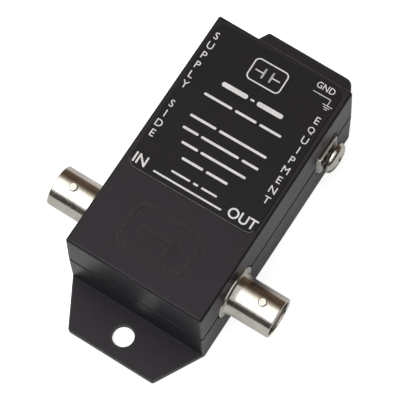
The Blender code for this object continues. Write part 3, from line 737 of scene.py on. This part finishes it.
def wire_clamp(name):
    """A square plate, both ends bent in and splayed a little, with the screw's hole drilled through."""
    half, thick, inner_bend, face = 0.0037, 0.0006, 0.0002, 0.0007
    bend = inner_bend + thick / 2
    corner_x, corner_y = face - thick - inner_bend, half - thick - inner_bend
    side, splay = half - thick / 2, 0.00035
    path = [(-0.0022, side + splay), (-0.0005, side + splay)]
    for step in range(9):
        angle = step / 8 * pi / 2
        path.append((corner_x + bend * sin(angle), corner_y + bend * cos(angle)))
    path += [(x, -y) for x, y in reversed(path)]
    bpy.ops.mesh.primitive_plane_add(size=1.0, location=(0.0, 0.0, 0.0), rotation=(0.0, pi / 2, 0.0))
    clamp = named(name)
    set_place(clamp)
    work_on()
    verts = list(bmesh.from_edit_mesh(clamp.data).verts)
    for vertex in verts:
        x, y = path[1] if vertex.co.y < 0 else path[0]
        vertex.co = (x, y, 0.0040 if vertex.co.z > 0 else -0.0040)
    bmesh.update_edit_mesh(clamp.data)
    bpy.ops.mesh.select_mode(type="EDGE")
    start_x, start_y = path[1]
    select_edges(clamp, lambda edge: all(
        abs(v.co.x - start_x) < 1e-6 and abs(v.co.y - start_y) < 1e-6 for v in edge.verts))
    for x, y in path[2:]:
        bpy.ops.mesh.extrude_region_move(TRANSFORM_OT_translate={"value": (x - start_x, y - start_y, 0.0)})
        start_x, start_y = x, y
    bpy.ops.object.mode_set(mode="OBJECT")
    plate = clamp.modifiers.new("plate", "SOLIDIFY")
    plate.thickness = thick
    plate.offset = 0.0
    apply_modifiers(clamp)
    work_on()
    for side_sign in (-1, 1):
        select_vertices(clamp, lambda v: v.co.z > 0.0039 and v.co.y * side_sign > side + 0.0001)
        bpy.ops.transform.translate(value=(0.0, 0.0, -0.00007))
    bpy.ops.object.mode_set(mode="OBJECT")
    bpy.ops.mesh.primitive_cylinder_add(
        vertices=64, radius=0.00205, depth=0.006, location=(0.0, 0.0, 0.0), rotation=(0.0, pi / 2, 0.0)
    )
    drill = named("drill")
    set_place(drill)
    cut_away(clamp, drill)
    break_edges(clamp, 0.00009, 40.0)
    tidy_mesh(clamp, 40.0, 1e-7)
    square_normals(clamp)
    return clamp


ground_place = (WALL_X, GROUND_Y, SEAM_Z)
clamp_plate = wire_clamp("clamp_plate")
clamp_plate.location = ground_place
set_place(clamp_plate)
paint(clamp_plate, zinc)
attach(clamp_plate, "ground_clamp")
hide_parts("ground_clamp")

earth_screw = terminal_screw("earth_screw")
earth_screw.location = ground_place
set_place(earth_screw)
paint(earth_screw, zinc)
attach(earth_screw, "ground_screw")
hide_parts("ground_screw")


def cover_screw(name):
    """Pan head with a cross recess, seen from under the box, and a coarse thread."""
    head_radius, head_top, seat, point = 0.0022, -0.0002, -0.0016, -0.0186
    profile = [(point, 0.00015), (point + 0.0026, 0.00095), (seat - 0.0002, 0.00095), (seat, 0.00115)]
    profile += [(seat, head_radius - 0.0001), (seat + 0.0001, head_radius), (head_top - 0.0006, head_radius)]
    for step in range(1, 8):
        angle = step / 8 * pi / 2
        profile.append((head_top - 0.0006 + 0.0006 * sin(angle), head_radius - 0.0011 * (1 - cos(angle))))
    screw = turn_on_lathe(name, profile, steps=64)
    join_on(screw, thread_ridge("thread", point + 0.0024, seat - 0.0006, 0.00095, 0.0013, 0.00100, 20))
    cut_away(
        screw, recess_tool(head_top, 0.0011, 0.0024, 0.00055), recess_tool(head_top, 0.0011, 0.00055, 0.0024)
    )
    tidy_mesh(screw, 35.0, 1e-6)
    return screw


pattern_screw = cover_screw("pattern_screw")
pattern_screw.rotation_euler = (0.0, pi / 2, 0.0)
set_place(pattern_screw)
for number in range(1, 5):
    screw_x, screw_y = middle(f"housing_screw_{number}")[:2]
    screw = copy_of(pattern_screw, f"cover_screw_{number}")
    screw.location = (screw_x, screw_y, 0.0)
    screw.rotation_euler = (0.0, 0.0, 0.5 + 1.1 * number)
    set_place(screw)
    paint(screw, zinc)
    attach(screw, "housing")
    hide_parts(f"housing_screw_{number}")
bpy.data.objects.remove(pattern_screw, do_unlink=True)


# Label and its print

def label_place(x, y):
    """A point of the label in the room, from millimetres across and along it, before it was turned."""
    centre_x, centre_y = LABEL_CENTRE
    across, along = x * MM - centre_x, y * MM - centre_y
    return (
        centre_x + across * cos(LABEL_TURN) - along * sin(LABEL_TURN),
        centre_y + across * sin(LABEL_TURN) + along * cos(LABEL_TURN),
        LABEL_TOP,
    )


def rounded_sheet(name, width, length, radius, thickness, segments=12):
    """A plane with rounded corners, drawn up to a sheet."""
    bpy.ops.mesh.primitive_plane_add(size=1.0, location=(0.0, 0.0, 0.0))
    sheet = named(name)
    sheet.scale = (width, length, 1.0)
    set_place(sheet)
    work_on()
    bpy.ops.mesh.select_all(action="SELECT")
    bpy.ops.mesh.bevel(offset=radius, segments=segments, affect="VERTICES")
    if thickness:
        bpy.ops.mesh.select_mode(type="FACE")
        bpy.ops.mesh.select_all(action="SELECT")
        bpy.ops.mesh.extrude_region_move(TRANSFORM_OT_translate={"value": (0.0, 0.0, thickness)})
    bpy.ops.object.mode_set(mode="OBJECT")
    return sheet


FILM_WIDTH, FILM_LENGTH, FILM_CORNER, FILM_THICKNESS = 0.0316, 0.03805, 0.0021, 0.00015
FILM_FACE_AREA = 0.0001
label_sheet = rounded_sheet("label_sheet", FILM_WIDTH, FILM_LENGTH, FILM_CORNER, FILM_THICKNESS)
label_sheet.location = (*LABEL_CENTRE, LABEL_TOP - 0.00016)
label_sheet.rotation_euler = (0.0, 0.0, LABEL_TURN)
set_place(label_sheet)
break_edges(label_sheet, 0.00005)
tidy_mesh(label_sheet, 30.0)
pick_up(label_sheet)
work_on("FACE")
select_faces(label_sheet, lambda face: face.normal.z > 0.99 and face.calc_area() > FILM_FACE_AREA)
bpy.ops.mesh.inset(thickness=0.00008)
bpy.ops.object.mode_set(mode="OBJECT")
paint(label_sheet, film)
# Painted highlight: the near rim of the film, its inset border and edge faces, is painted pale.
near_rim = LABEL_CENTRE[1] - 0.0176
finish_faces(
    label_sheet, painted_edge_highlight,
    lambda face: face.calc_center_median().y < near_rim and face.calc_area() < FILM_FACE_AREA,
)
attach(label_sheet, "housing")
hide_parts("label")

marks = []
INK_DEPTH = 0.00003


def lay_on_label(piece, x, y):
    piece.rotation_euler = (0.0, 0.0, LABEL_TURN)
    piece.location = label_place(x, y)
    set_place(piece)
    marks.append(piece)


def print_mark(words, x, y, cap, width=None, bold=0.00003):
    """One word or letter, its cap height and width in millimetres, made a mesh and laid on the film."""
    bpy.ops.object.text_add(location=(0.0, 0.0, 0.0))
    piece = bpy.context.object
    piece.data.body = words
    piece.data.align_x = "CENTER"
    piece.data.align_y = "CENTER"
    piece.data.size = 0.002
    piece.data.offset = bold
    piece.data.resolution_u = 6
    pick_up(piece)
    bpy.ops.object.convert(target="MESH")
    bpy.ops.object.origin_set(type="ORIGIN_GEOMETRY", center="BOUNDS")
    piece = bpy.context.object
    tall = cap * MM / piece.dimensions.y
    wide = width * MM / piece.dimensions.x if width else tall
    piece.scale = (wide, tall, 1.0)
    lay_on_label(piece, x, y)


def print_bar(x, y, width, height, share=0.45):
    lay_on_label(rounded_sheet("bar", width * MM, height * MM, height * share * MM, 0.0, 5), x, y)


def print_words(y, height, *spans):
    """A line of word-long bars from their left and right ends."""
    for left, right in spans:
        print_bar((left + right) / 2, y, right - left, height)


def print_column(letters, x, top, bottom, cap):
    """Letters stacked one under another from the top one's middle to the last one's."""
    for step, letter in enumerate(letters):
        if letter != " ":
            print_mark(letter, x, top + (bottom - top) * step / (len(letters) - 1), cap, bold=0.000008)


print_column("SUPPLY SIDE", -14.6, 25.95, -0.15, 1.72)
print_column("EQUIPMENT", 14.1, 20.5, -0.4, 1.72)
print_mark("IN", -13.55, -6.6, 2.45, 3.1)
print_mark("OUT", 11.95, -6.6, 2.45, 6.9)
print_mark("GND", 11.9, 27.9, 1.5, 4.35, 0.000008)
print_bar(12.0, 26.05, 4.5, 0.17, 0.1)
print_bar(14.13, 25.3, 0.17, 1.6, 0.05)
for earth_y, earth_width in ((24.5, 2.4), (24.02, 1.5), (23.56, 0.8)):
    print_bar(14.2, earth_y, earth_width, 0.16, 0.1)
print_words(17.25, 1.10, (-7.8, -1.4), (1.0, 7.4))
print_words(17.25, 0.42, (-0.7, 0.3))
print_words(13.3, 0.58, (-9.9, -2.9), (-2.1, 3.2), (4.0, 9.4))
print_words(7.6, 0.58, (-9.9, -3.4), (-2.6, 9.2))
print_words(4.45, 0.58, (-9.8, -5.9), (-5.2, 4.2), (5.0, 9.1))
print_words(1.35, 0.58, (-8.2, -4.1), (-3.4, 7.8))
print_words(-1.75, 0.58, (-6.2, -0.9), (-0.1, 5.2))
print_words(-5.35, 0.45, (-6.6, -1.9), (-1.1, 0.1), (0.9, 4.8))
print_words(-7.35, 0.42, (-9.9, 7.1))


def print_gap_symbol(x, y):
    """The drafting symbol of a spark gap: two facing plates with their leads, in a rounded box."""
    outer = rounded_sheet("box", 8.4 * MM, 5.6 * MM, 1.2 * MM, 0.0, 8)
    pick_up(outer)
    work_on("FACE")
    bpy.ops.mesh.select_all(action="SELECT")
    bpy.ops.mesh.inset(thickness=0.30 * MM)
    bpy.ops.mesh.delete(type="FACE")
    bpy.ops.object.mode_set(mode="OBJECT")
    lay_on_label(outer, x, y)
    for side in (-1, 1):
        print_bar(x + side * 2.1, y, 1.9, 0.28, 0.05)
        print_bar(x + side * 0.95, y, 0.40, 2.7, 0.1)


print_gap_symbol(-0.35, 23.8)

pick_up(*marks)
bpy.ops.object.join()
label_marks = named("label_marks")
pick_up(label_marks)
work_on("FACE")
bpy.ops.mesh.select_all(action="SELECT")
bpy.ops.mesh.extrude_region_move(TRANSFORM_OT_translate={"value": (0.0, 0.0, -INK_DEPTH)})
bpy.ops.object.mode_set(mode="OBJECT")
tidy_mesh(label_marks, 30.0, 1e-7)
paint(label_marks, ink)
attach(label_marks, "housing")


# Floor, light and camera

def seen_share(nodes, links, straight, in_gloss, otherwise=0.0):
    """One share for what the camera sees, one for what gloss shows and one for other light."""
    path = nodes.new("ShaderNodeLightPath")
    total = None
    for ray, share in (
        ("Is Camera Ray", straight), ("Is Glossy Ray", in_gloss), ("Is Transmission Ray", in_gloss)
    ):
        weigh = nodes.new("ShaderNodeMath")
        weigh.operation = "MULTIPLY_ADD"
        links.new(path.outputs[ray], weigh.inputs[0])
        weigh.inputs[1].default_value = share - otherwise
        weigh.inputs[2].default_value = otherwise
        if total:
            links.new(total, weigh.inputs[2])
        total = weigh.outputs["Value"]
    return total


def pale_floor():
    """A white table that keeps the shadow and fades into a white background."""
    bpy.ops.mesh.primitive_plane_add(size=6.0, location=(0.0, 0.0, -0.00002))
    floor = named("floor")
    made = Finish("pale_floor", specular=0.0)
    mottle = made.spread(made.noise(12.0, 3.0), 0.3, 0.7, 0.0, 1.0)
    made.colour(made.blend(mottle, (0.80, 0.80, 0.80, 1.0), (0.82, 0.82, 0.82, 1.0)))
    made.shader.inputs["Roughness"].default_value = 0.9
    made.shader.inputs["Emission Color"].default_value = (1.0, 1.0, 1.0, 1.0)
    made.links.new(seen_share(made.nodes, made.links, 0.74, 0.14), made.shader.inputs["Emission Strength"])
    paint(floor, made.material)


def dark_card(name, place, width, height, colour, turn=0.0):
    """An upright card beside the set, out of the camera's own sight, that darkens what the plating shows."""
    bpy.ops.mesh.primitive_plane_add(size=1.0, location=(0.0, 0.0, 0.0), rotation=(pi / 2, 0.0, 0.0))
    card = named(name)
    card.scale = (width, height, 1.0)
    set_place(card)
    card.rotation_euler = (0.0, 0.0, turn)
    card.location = place
    set_place(card)
    made = Finish(name, specular=0.0)
    fade = made.spread(made.noise(0.8, 2.0), 0.3, 0.7, 0.0, 1.0)
    made.colour(made.blend(fade, colour, tuple(value * 0.7 for value in colour[:3]) + (1.0,)))
    made.shader.inputs["Roughness"].default_value = 1.0
    paint(card, made.material)
    card.visible_camera = False


def lamp(name, place, aim, width, height, power, tint=(1.0, 1.0, 1.0), in_gloss=True):
    data = bpy.data.lights.new(name, "AREA")
    data.shape = "RECTANGLE"
    data.size, data.size_y = width, height
    data.energy = power
    data.color = tint
    light = bpy.data.objects.new(name, data)
    light.location = place
    light.rotation_euler = (Vector(aim) - Vector(place)).to_track_quat("-Z", "Y").to_euler()
    light.visible_glossy = in_gloss
    bpy.context.scene.collection.objects.link(light)


def studio_world():
    """A pale room: white where it is seen, dim as a light."""
    world = bpy.data.worlds.new("studio")
    bpy.context.scene.world = world
    world.use_nodes = True
    nodes, links = world.node_tree.nodes, world.node_tree.links
    background = nodes["Background"]
    background.inputs["Color"].default_value = (1.0, 1.0, 1.0, 1.0)
    links.new(seen_share(nodes, links, 1.0, 0.85, 0.22), background.inputs["Strength"])


def place_camera():
    """The photograph's viewpoint: steep, from the near end on the OUT side, with a long lens."""
    azimuth, elevation, roll = radians(36.149), radians(71.578), radians(-3.654)
    distance, across, up_by = 0.515661, 0.002481, 0.003002
    back = Vector((sin(azimuth) * cos(elevation), -cos(azimuth) * cos(elevation), sin(elevation)))
    right = Vector((cos(azimuth), sin(azimuth), 0.0))
    up = back.cross(right)
    right_rolled = right * cos(roll) + up * sin(roll)
    up_rolled = up * cos(roll) - right * sin(roll)
    place = Vector((0.0, 0.0, 0.013788)) + back * distance - right_rolled * across - up_rolled * up_by
    data = bpy.data.cameras.new("camera")
    data.sensor_width = 36.0
    focal_pixels, picture_pixels = 2359.909, 400.0
    data.lens = focal_pixels / picture_pixels * data.sensor_width
    data.clip_start, data.clip_end = 0.01, 20.0
    camera = bpy.data.objects.new("camera", data)
    camera.matrix_world = Matrix((
        (right_rolled.x, up_rolled.x, back.x, place.x),
        (right_rolled.y, up_rolled.y, back.y, place.y),
        (right_rolled.z, up_rolled.z, back.z, place.z),
        (0.0, 0.0, 0.0, 1.0),
    ))
    bpy.context.scene.collection.objects.link(camera)
    bpy.context.scene.camera = camera


put_down()
pale_floor()
studio_world()
BOX_X, BOX_Z, BOX_WIDTH = -0.25, 0.90, 0.74
for box_name, box_y, box_length, box_power, box_tint in (
    ("overhead_box", -0.435, 1.03, 8.19, (1.0, 1.0, 1.0)),
    ("box_edge", 0.19, 0.20, 0.53, (1.0, 0.97, 0.88)),
    ("box_fringe", 0.43, 0.28, 0.36, (1.0, 0.95, 0.82)),
    ("box_fade", 0.70, 0.26, 0.15, (1.0, 0.90, 0.74)),
):
    lamp(box_name, (BOX_X, box_y, BOX_Z), (BOX_X, box_y, 0.0), BOX_WIDTH, box_length, box_power, box_tint)
lamp("side_fill", (0.50, 0.80, 0.45), (0.0, 0.0, 0.0), 0.35, 0.35, 2.4, in_gloss=False)
dark_card("far_card", (0.0, 1.0, 1.05), 3.0, 2.10, (0.42, 0.29, 0.20, 1.0))
dark_card("near_card", (0.0, -1.25, 0.40), 3.0, 0.80, (0.11, 0.11, 0.11, 1.0))
dark_card("side_card", (1.1, 0.2, 0.60), 2.6, 1.20, (0.16, 0.13, 0.11, 1.0), pi / 2)
place_camera()

bpy.context.scene.view_settings.view_transform = "Standard"
